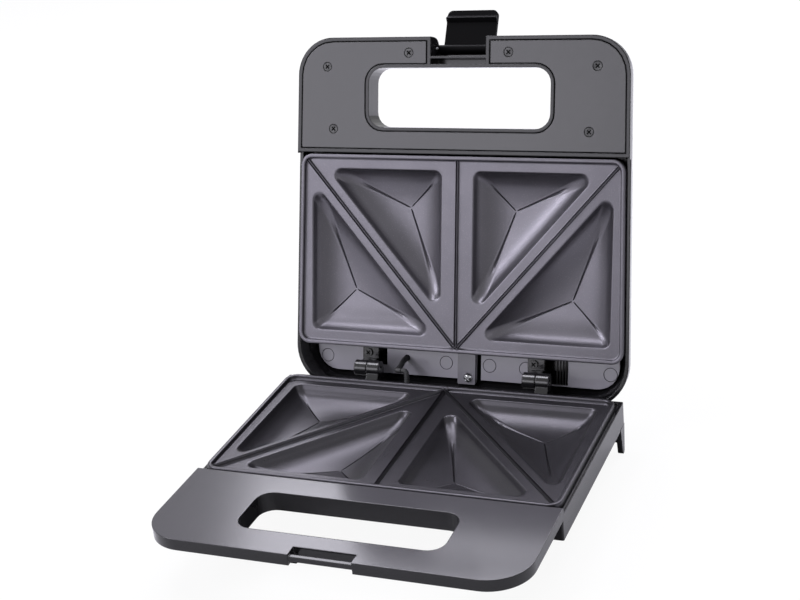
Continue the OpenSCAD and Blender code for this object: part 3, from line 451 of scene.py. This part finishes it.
finishes = {
    "shell_black": shell_black,
    "cover_black": cover_black,
    "panel_grey": panel_grey,
    "inner_black": inner_black,
    "nonstick": nonstick,
    "tube_steel": brushed("tube_steel", (0.3, 0.28, 0.26, 1), 0.45, 60),
    "bead_ceramic": mottled("bead_ceramic", (0.8, 0.77, 0.7, 1), 0.45, 150, 0.00003),
    "shield_sheet": brushed("shield_sheet", (0.78, 0.79, 0.8, 1), 0.3, 40),
    "zinc_screw": brushed("zinc_screw", (0.5, 0.5, 0.52, 1), 0.35, 200),
    "dark_screw": brushed("dark_screw", (0.06, 0.06, 0.065, 1), 0.35, 200),
    "bright_steel": brushed("bright_steel", (0.75, 0.76, 0.78, 1), 0.22, 200),
    "foot_rubber": mottled("foot_rubber", (0.02, 0.02, 0.02, 1), 0.7, 80, 0.00004),
    "terminal_white": mottled("terminal_white", (0.8, 0.78, 0.72, 1), 0.5, 60, 0.00002),
    "wire_red": mottled("wire_red", (0.35, 0.05, 0.03, 1), 0.4, 90, 0.00002),
    "sleeve_black": mottled("sleeve_black", (0.02, 0.02, 0.021, 1), 0.6, 300, 0.0001),
    "control_cream": mottled("control_cream", (0.72, 0.66, 0.55, 1), 0.5, 90, 0.00003),
    "lens_red": mottled("lens_red", (0.55, 0.03, 0.02, 1), 0.15, 60, 0.00001, 0.5),
    "lens_green": mottled("lens_green", (0.04, 0.35, 0.07, 1), 0.15, 60, 0.00001, 0.5),
}

own_finishes = {
    "lid_handle_screws": screw_head("cover_screw", RIM_Z + 0.1),
    "lid_hinge_screws": screw_head("hinge_screw", HINGE_SCREW_Z),
    # The lid cover's holes and gaps behind RIM_Z carry painted shade: they are painted black.
    "lid_handle_cover": moulded("lid_cover_black", 0.014, 0.02, 0.22, 0.0006, face=RIM_Z),
    # lid_frame_grey is the panel's grey moulding painted lighter than panel_grey: partly its own grey,
    # partly painted light. Its holes and gaps behind PANEL_Z are painted black as painted shade.
    "lid_frame": moulded("lid_frame_grey", 0.36, 0.44, 0.12, 0.0004, face=PANEL_Z),
    "base_housing": handle_black,
    "latch_clip": moulded("latch_black", 0.002, 0.004, 0.5, 0.0006, shine=0.03),
    "base_hinge_left": hinge_black,
    "base_hinge_right": hinge_black,
    "lid_hinge_left": hinge_black,
    "lid_hinge_right": hinge_black,
}

slot_of = {part["node"]: part["material_slot"] for part in frame["record"]["subparts"]}
for node, shown in frame["nodes"].items():
    shown.data.materials.clear()
    shown.data.materials.append(own_finishes.get(node, finishes[slot_of[node]]))


# Cooking plates

RIDGE_REAR = np.array([0, PLATE_Y1 - LIP_W])
RIDGE_END = np.array([half_width(PLATE_Y0) - PLATE_INSET - LIP_W, PLATE_Y0 + LIP_W])
RIDGE_DIR = (RIDGE_END - RIDGE_REAR) / np.linalg.norm(RIDGE_END - RIDGE_REAR)
RIDGE_SIDE = np.array([-RIDGE_DIR[1], RIDGE_DIR[0]])


def beside_x(off, x):
    """The point at x on the line that runs beside the ridge at the distance off."""
    q = RIDGE_REAR + RIDGE_SIDE * off
    return (x, q[1] + (x - q[0]) * RIDGE_DIR[1] / RIDGE_DIR[0])


def beside_y(off, y):
    """The point at y on the line that runs beside the ridge at the distance off."""
    q = RIDGE_REAR + RIDGE_SIDE * off
    return (q[0] + (y - q[1]) * RIDGE_DIR[0] / RIDGE_DIR[1], y)


def pocket_triangles():
    """The corners of the front and side pocket on the right, counter-clockwise."""
    x = half_width(PLATE_Y1) - PLATE_INSET - LIP_W - LAND_EDGE
    y0 = PLATE_Y0 + LIP_W + LAND_EDGE
    y1 = PLATE_Y1 - LIP_W - LAND_EDGE
    front = [(LAND_CENTRE, y0), beside_y(-LAND_DIAG, y0), beside_x(-LAND_DIAG, LAND_CENTRE)]
    side = [(x, y1), beside_y(LAND_DIAG, y1), beside_x(LAND_DIAG, x)]
    return np.array(front), np.array(side)


def in_centre(t):
    """Centre and radius of the circle inside a triangle."""
    sides = np.array([np.linalg.norm(t[1] - t[2]), np.linalg.norm(t[2] - t[0]), np.linalg.norm(t[0] - t[1])])
    centre = (sides[:, None] * t).sum(0) / sides.sum()
    u, v = t[1] - t[0], t[2] - t[0]
    return centre, abs(u[0] * v[1] - u[1] * v[0]) / sides.sum()


POCKET_CURVE = [
    (1.045, 0), (1.02, 0.005), (1.0, 0.045), (0.975, 0.15), (0.94, 0.29), (0.87, 0.465), (0.78, 0.61),
    (0.65, 0.755), (0.48, 0.87), (0.28, 0.95), (0.1, 0.99), (0.02, 1.0)
]
CREASE_R = 1.2
CREASE_DEPTH = 1.15
CREASE_FADE = (0.56, 0.7)
ALONG_SIDES = np.array([0.03, 0.5, 0.97])


def pocket_loop(triangle, share):
    """The pocket's outline drawn towards its centre until share of its size is left.

    Its corners sharpen on the way in, from POCKET_R to CREASE_R, and each straight side has a few points.
    """
    centre, radius = in_centre(triangle)
    turn = min(CREASE_R + (POCKET_R - CREASE_R) * share ** 2, 0.7 * radius * share)
    shape = centre + (triangle - centre) * share
    loop = rounded(shape, [turn] * 3).reshape(3, CORNER_STEPS + 1, 2)
    follow = np.roll(loop[:, 0], -1, 0)
    along = ALONG_SIDES[None, :, None]
    straight = loop[:, -1:] * (1 - along) + follow[:, None] * along
    return np.concatenate([loop, straight], 1).reshape(-1, 2)


def cut_creases(rows, shares):
    """Lowers the middle of each corner of the rows, which draws fine creases from the pocket's middle."""
    a, b = CREASE_FADE
    depth = CREASE_DEPTH * np.clip((b - np.array(shares)) / (b - a), 0, 1)[:, None]
    every = CORNER_STEPS + 1 + len(ALONG_SIDES)
    for step, part in ((-2, 0.15), (-1, 0.7), (0, 1), (1, 0.7), (2, 0.15)):
        rows[:, CORNER_STEPS // 2 + step::every, 2] -= part * depth


def add_pocket(sheets, triangle, under):
    """The pocket's hollow as shrinking outlines on a smooth wall curve, or the bulge under it."""
    if under:
        _, radius = in_centre(triangle)
        grow = POCKET_WALL / radius
        profile = [(1 + grow, DECK_Z), (0.93 + grow, LAND_Z - 5.5), (0.7 + grow, LAND_Z - 9.3),
                   (0.4 + grow, LAND_Z - 12), (0.05, LAND_Z - POCKET_DEPTH - POCKET_WALL)]
    else:
        curve = smooth_profile(POCKET_CURVE, 4)
        profile = [(s, LAND_Z - POCKET_DEPTH * d) for s, d in curve]
    rows = rings(lambda s: pocket_loop(triangle, s), profile)
    if not under:
        cut_creases(rows, [s for s, _ in profile])
    sheets.grid(rows, True, flip=under)
    sheets.flat([rows[-1][:, :2]], profile[-1][1], up=not under)


RIDGE_SECTION = [
    (0.9, -0.06), (0.78, 0.1), (0.68, 0.45), (0.58, 0.9), (0.5, 1), (0.4, 0.88), (0.22, 0.1), (0, 0.02)
]


def add_ridge(sheets, a, b):
    """A double ridge with a fine channel along its top, from a to b, RIDGE_W wide and RIDGE_H high."""
    a = np.asarray(a, float)
    b = np.asarray(b, float)
    way = (b - a) / np.linalg.norm(b - a)
    side = np.array([-way[1], way[0]])
    half = np.array(RIDGE_SECTION)
    section = np.vstack([half, (half * (-1, 1))[-2::-1]])
    across = RIDGE_W / 2 * section[:, 0]
    height = LAND_Z + RIDGE_H * section[:, 1]
    ends = []
    for end in (a, b):
        ends.append(np.column_stack([end[0] + side[0] * across, end[1] + side[1] * across, height]))
    rows = np.stack(ends)
    sheets.grid(rows, False)


def lip_profile():
    """Insets and heights over the lip: up its outer side, round the top, down and out on to the land."""
    top = LAND_Z + LIP_H
    outer = [(0, DECK_Z), (0, top - 0.7), (0.08, top - 0.35), (0.3, top - 0.1), (0.65, top)]
    inner = [(LIP_W - 0.8, top), (LIP_W - 0.4, top - 0.12), (LIP_W - 0.12, top - 0.4), (LIP_W, top - 0.8)]
    foot = [(LIP_W + 0.05, LAND_Z + 0.9), (LIP_W + 0.3, LAND_Z + 0.35), (LIP_W + 0.7, LAND_Z + 0.08),
            (LIP_W + 1.2, LAND_Z)]
    return outer + inner + foot


def plate_loop(inset):
    r = PLATE_R + PLATE_INSET
    return outline(PLATE_Y0 - PLATE_INSET, PLATE_Y1 + PLATE_INSET, r, r, PLATE_INSET + inset)


def add_lip_marks(sheets):
    """Two short upright ribs on the inner wall of the rear lip, where the ridges end."""
    top = LAND_Z + LIP_H - 0.1
    y0, y1 = PLATE_Y1 - LIP_W - 1.1, PLATE_Y1 - 0.9
    rise = [(1, y0, LAND_Z), (0.6, y0 + 0.5, top - 0.9), (0.6, y0 + 1.3, top + 0.25), (0.6, y1, top + 0.25)]
    for x in (-MARK_X, MARK_X):
        rows = [[(x + share * a, y, z) for share, y, z in rise] for a in (-0.75, -0.45, 0.45, 0.75)]
        sheets.grid(np.array(rows), False, flip=True)


def cooking_plate():
    """One cast plate: lip, land with holes, pockets with rolled rims, ridges, and the under face."""
    sheets = Sheets()
    profile = lip_profile()
    sheets.grid(rings(plate_loop, profile), True)
    front, side = pocket_triangles()
    left = [t[::-1] * (-1, 1) for t in (front, side)]
    triangles = [front, side] + left
    rims = [pocket_loop(t, POCKET_CURVE[0][0]) for t in triangles]
    sheets.flat([plate_loop(profile[-1][0])] + rims, LAND_Z)
    for t in triangles:
        add_pocket(sheets, t, under=False)
        add_pocket(sheets, t, under=True)
    feet = [pocket_loop(t, 1 + POCKET_WALL / in_centre(t)[1]) for t in triangles]
    sheets.flat([plate_loop(0)] + feet, DECK_Z, up=False)
    add_ridge(sheets, RIDGE_REAR, RIDGE_END)
    add_ridge(sheets, RIDGE_REAR * (-1, 1), RIDGE_END * (-1, 1))
    add_ridge(sheets, (0, RIDGE_REAR[1]), (0, RIDGE_END[1]))
    add_lip_marks(sheets)
    return sheets


make_piece("base_plate_cast", cooking_plate(), "base", nonstick, ["base_plate"])
lid_plate = cooking_plate()
lid_plate.mirror_z()
make_piece("lid_plate_cast", lid_plate, "lid", lid_nonstick, ["lid_plate"])


# Smooth outer skins of the mouldings

def front_path(inset, y0, y1, r, right):
    """Half the housing's outline: from the notch, round the front corner and back along the side."""
    loop = outline(y0, y1, r, 1, inset)
    n = CORNER_STEPS + 1
    corner = loop[n:2 * n]
    start = np.array([[NOTCH_HALF, corner[0, 1]]])
    end = np.array([[half_width(y1) - inset, y1]])
    half = np.vstack([start, corner, end])
    return half if right else half * (-1, 1)


def add_band(sheets, profile, y0, y1, r):
    """The profile carried along the front half-outline on both sides of the latch notch."""
    for right in (True, False):
        rows = rings(lambda s: front_path(s, y0, y1, r, right), profile)
        sheets.grid(rows, False, flip=not right)


def base_handle_skin():
    """The base handle's upright edge and the rim of its top, drawn with true arcs at the corners."""
    sheets = Sheets()
    low = BASE_H - HANDLE_EDGE
    profile = [(2.5, low), (-PROUD, low), (-PROUD, BASE_H + PROUD), (6, BASE_H + PROUD)]
    add_band(sheets, profile, FRONT, HANDLE_BACK, CORNER_R)
    return sheets


def base_cover_skin():
    """The handle's under cover: it swells from the edge down towards the slot."""
    sheets = Sheets()
    z0 = BASE_H - HANDLE_T
    swell = [(11, z0 - PROUD), (8.8, z0 + 0.5), (7.2, z0 + 1.8), (4.9, z0 + 3.4), (2.6, z0 + 5)]
    profile = smooth_profile(swell, 4)
    add_band(sheets, profile, FRONT, HANDLE_BACK, CORNER_R)
    return sheets


HANDLE_CURVE = [(0, 0), (0.1, 6), (0.7, 10.5), (2, 13.6), (4.4, 15.9), (8, LID_HANDLE_T)]
DOME_CURVE = [(0, 3.7), (0.5, 9), (1.6, 16), (3.6, 21.5), (7, 27), (11, 31), (16, 33.6), (24, 34.5)]


def lid_skin():
    """The lid's outside: the handle's rounded edge and flat top, and the dome as shrinking outlines."""
    sheets = Sheets()
    curve = smooth_profile(HANDLE_CURVE, 5)
    profile = [(s - PROUD, RIM_Z + z) for s, z in curve]
    edge, flat = HANDLE_CURVE[-1][0], RIM_Z + LID_HANDLE_T + PROUD
    profile[-1] = (edge, flat)
    add_band(sheets, profile, FRONT, HANDLE_BACK + 1, CORNER_R)
    top = front_path(edge, FRONT, HANDLE_BACK + 1, CORNER_R, True)
    loop = np.vstack([top, (top * (-1, 1))[::-1]])
    sheets.flat([loop, slot_loop(0.02)], flat)
    curve = smooth_profile(DOME_CURVE, 6)
    profile = [(s - PROUD, RIM_Z + z + PROUD * (z > 21)) for s, z in curve]
    loop_at = lambda s: outline(HANDLE_BACK - 3, LID_BACK, DOME_R + max(s, 0), REAR_R, s)
    rows = rings(loop_at, profile)
    sheets.grid(rows, True)
    sheets.flat([rows[-1][:, :2]], profile[-1][1])
    return sheets


make_piece("base_handle_skin", base_handle_skin(), "base", handle_black, sharp=40)
make_piece("base_cover_skin", base_cover_skin(), "base", cover_black, sharp=40)
make_piece("lid_skin", lid_skin(), "lid", shell_black, sharp=40)


# Wire sleeves

SLEEVE_R = 1.85
SLEEVE_RIB = 1.3
SLEEVE_STEP = 0.26
SLEEVE_SIDES = 20
SLEEVE_SLANT = (0.5, 0.6, 0.62)


def swept_sleeve(corners):
    """A ribbed tube along a route of points, whose corners are first cut three times over.

    A circle is carried along, on axes made from the route's direction and one fixed slant. Its radius is
    SLEEVE_R * (0.96 + 0.04 * cos(2 pi * length / SLEEVE_RIB)).
    """
    route = np.array(corners, float)
    for _ in range(3):
        a, b = route[:-1], route[1:]
        cut = np.stack([0.75 * a + 0.25 * b, 0.25 * a + 0.75 * b], 1).reshape(-1, 3)
        route = np.vstack([route[:1], cut[1:-1], route[-1:]])
    length = np.concatenate([[0], np.cumsum(np.linalg.norm(np.diff(route, axis=0), axis=1))])
    place = np.linspace(0, length[-1], int(length[-1] / SLEEVE_STEP))
    line = np.column_stack([np.interp(place, length, route[:, i]) for i in range(3)])
    way = np.gradient(line, axis=0)
    way /= np.linalg.norm(way, axis=1)[:, None]
    side = np.cross(way, SLEEVE_SLANT)
    side /= np.linalg.norm(side, axis=1)[:, None]
    up = np.cross(way, side)
    radius = SLEEVE_R * (0.96 + 0.04 * np.cos(2 * math.pi * place / SLEEVE_RIB))
    turn = np.linspace(0, 2 * math.pi, SLEEVE_SIDES, endpoint=False)
    spokes = np.cos(turn)[None, :, None] * side[:, None] + np.sin(turn)[None, :, None] * up[:, None]
    rows = line[:, None] + radius[:, None, None] * spokes
    tips = line[[0, -1], None] + 0.05 * spokes[[0, -1]]
    sheets = Sheets()
    sheets.grid(np.concatenate([tips[:1], rows, tips[1:]]), True)
    return sheets


base_route = [
    (-36.8, HINGE_Y, HINGE_Z), (-33, HINGE_Y, HINGE_Z), (-33, 6.25, 28.75), (-33, -8, 28.75),
    (-31, -12.5, 23.75), (32, -13, 17.7), (37.4, -17.4, 14.9), (39.8, -17.4, 14.9)
]
lid_route = [
    (-41, 4, PANEL_Z + 7), (-41, 4, PANEL_Z - 5), (-41, HINGE_Y, HINGE_Z + 6), (-41, HINGE_Y, HINGE_Z),
    (-37.2, HINGE_Y, HINGE_Z)
]
for body, route in (("base", base_route), ("lid", lid_route)):
    name = body + "_sleeve_ribbed"
    replaced = [body + "_wire_sleeve"]
    make_piece(name, swept_sleeve(route), body, finishes["sleeve_black"], replaced)


# Studio

FLOOR_HALF = 6
FLOOR_GREY = 0.62
FLOOR_SEEN_WHITE = 0.93
MIRRORED_WHITE = 0.62
SOFT_LIGHT = 0.3
LAMP_COLOUR = (0.92, 0.905, 1.0)


def pale_floor():
    """A wide pale floor that the camera sees as almost white, with a trace of the object's shadow."""
    mesh = bpy.data.meshes.new("floor")
    w = FLOOR_HALF
    mesh.from_pydata([(-w, -w, 0), (w, -w, 0), (w, w, 0), (-w, w, 0)], [], [(0, 1, 2, 3)])
    floor = bpy.data.objects.new("floor", mesh)
    bpy.context.scene.collection.objects.link(floor)
    material = bpy.data.materials.new("pale_floor")
    material.use_nodes = True
    tree = material.node_tree
    tree.nodes.clear()
    output = tree.nodes.new("ShaderNodeOutputMaterial")
    blend = tree.nodes.new("ShaderNodeMixShader")
    diffuse = tree.nodes.new("ShaderNodeBsdfDiffuse")
    diffuse.inputs["Color"].default_value = grey(FLOOR_GREY)
    glow = tree.nodes.new("ShaderNodeEmission")
    rays = tree.nodes.new("ShaderNodeLightPath")
    seen = tree.nodes.new("ShaderNodeMath")
    seen.operation = "MULTIPLY"
    seen.inputs[1].default_value = FLOOR_SEEN_WHITE
    tree.links.new(rays.outputs["Is Camera Ray"], seen.inputs[0])
    tree.links.new(seen.outputs[0], blend.inputs[0])
    tree.links.new(diffuse.outputs[0], blend.inputs[1])
    tree.links.new(glow.outputs[0], blend.inputs[2])
    tree.links.new(blend.outputs[0], output.inputs["Surface"])
    mesh.materials.append(material)


def white_world():
    """Soft light from all round; the camera sees white, and mirror rays see it partly."""
    world = bpy.data.worlds.new("studio")
    bpy.context.scene.world = world
    world.use_nodes = True
    tree = world.node_tree
    tree.nodes.clear()
    output = tree.nodes.new("ShaderNodeOutputWorld")
    blend = tree.nodes.new("ShaderNodeMixShader")
    rays = tree.nodes.new("ShaderNodeLightPath")
    seen = tree.nodes.new("ShaderNodeMath")
    seen.operation = "MAXIMUM"
    mirrored = tree.nodes.new("ShaderNodeMath")
    mirrored.operation = "MULTIPLY"
    mirrored.inputs[1].default_value = MIRRORED_WHITE
    tree.links.new(rays.outputs["Is Glossy Ray"], mirrored.inputs[0])
    tree.links.new(rays.outputs["Is Camera Ray"], seen.inputs[0])
    tree.links.new(mirrored.outputs[0], seen.inputs[1])
    soft = tree.nodes.new("ShaderNodeBackground")
    soft.inputs["Color"].default_value = (0.92, 0.93, 1.0, 1)
    soft.inputs["Strength"].default_value = SOFT_LIGHT
    white = tree.nodes.new("ShaderNodeBackground")
    white.inputs["Color"].default_value = (1, 1, 1, 1)
    tree.links.new(seen.outputs[0], blend.inputs[0])
    tree.links.new(soft.outputs[0], blend.inputs[1])
    tree.links.new(white.outputs[0], blend.inputs[2])
    tree.links.new(blend.outputs[0], output.inputs["Surface"])


def softbox(name, place, target, width, height, watts):
    """A rectangular lamp at place that faces target."""
    data = bpy.data.lights.new(name, "AREA")
    data.shape = "RECTANGLE"
    data.size = width
    data.size_y = height
    data.energy = watts
    data.color = LAMP_COLOUR
    lamp = bpy.data.objects.new(name, data)
    bpy.context.scene.collection.objects.link(lamp)
    way = Vector(place) - Vector(target)
    lamp.matrix_world = Matrix.Translation(place) @ way.to_track_quat("Z", "Y").to_matrix().to_4x4()


def photo_camera():
    """The camera at the photograph's place: yaw, pitch down and roll turned into its axes."""
    yaw, pitch, roll = math.radians(23.3), math.radians(22.74), math.radians(-6.04)
    ahead = np.array([-math.sin(yaw) * math.cos(pitch), math.cos(yaw) * math.cos(pitch), -math.sin(pitch)])
    right = np.array([math.cos(yaw), math.sin(yaw), 0])
    up = np.cross(right, ahead)
    turned_right = math.cos(roll) * right + math.sin(roll) * up
    turned_up = math.cos(roll) * up - math.sin(roll) * right
    place = np.array([0.31413, -0.743954, 0.4588])
    data = bpy.data.cameras.new("photo_camera")
    data.lens = 64.9
    data.sensor_width = 36
    camera = bpy.data.objects.new("photo_camera", data)
    bpy.context.scene.collection.objects.link(camera)
    axes = np.eye(4)
    axes[:3, :4] = np.column_stack([turned_right, turned_up, -ahead, place])
    camera.matrix_world = Matrix(axes.tolist())
    bpy.context.scene.camera = camera


pale_floor()
white_world()
softbox("key_light", (-1.45, -0.75, 1.35), (0, 0, 0.15), 0.7, 0.7, 24)
softbox("front_light", (-0.95, -1.7, 0.75), (0, 0, 0.15), 1.6, 0.9, 15)
softbox("top_light", (-0.5, 0.1, 1.6), (0, 0, 0.15), 0.5, 0.5, 10)
softbox("back_light", (-0.03, 1.25, 1.72), (0, -0.1, 0.04), 2.3, 1.6, 88)
softbox("side_light", (1.5, -0.3, 0.8), (0, 0, 0.1), 0.7, 1.2, 2)
photo_camera()
bpy.context.scene.view_settings.view_transform = "Standard"
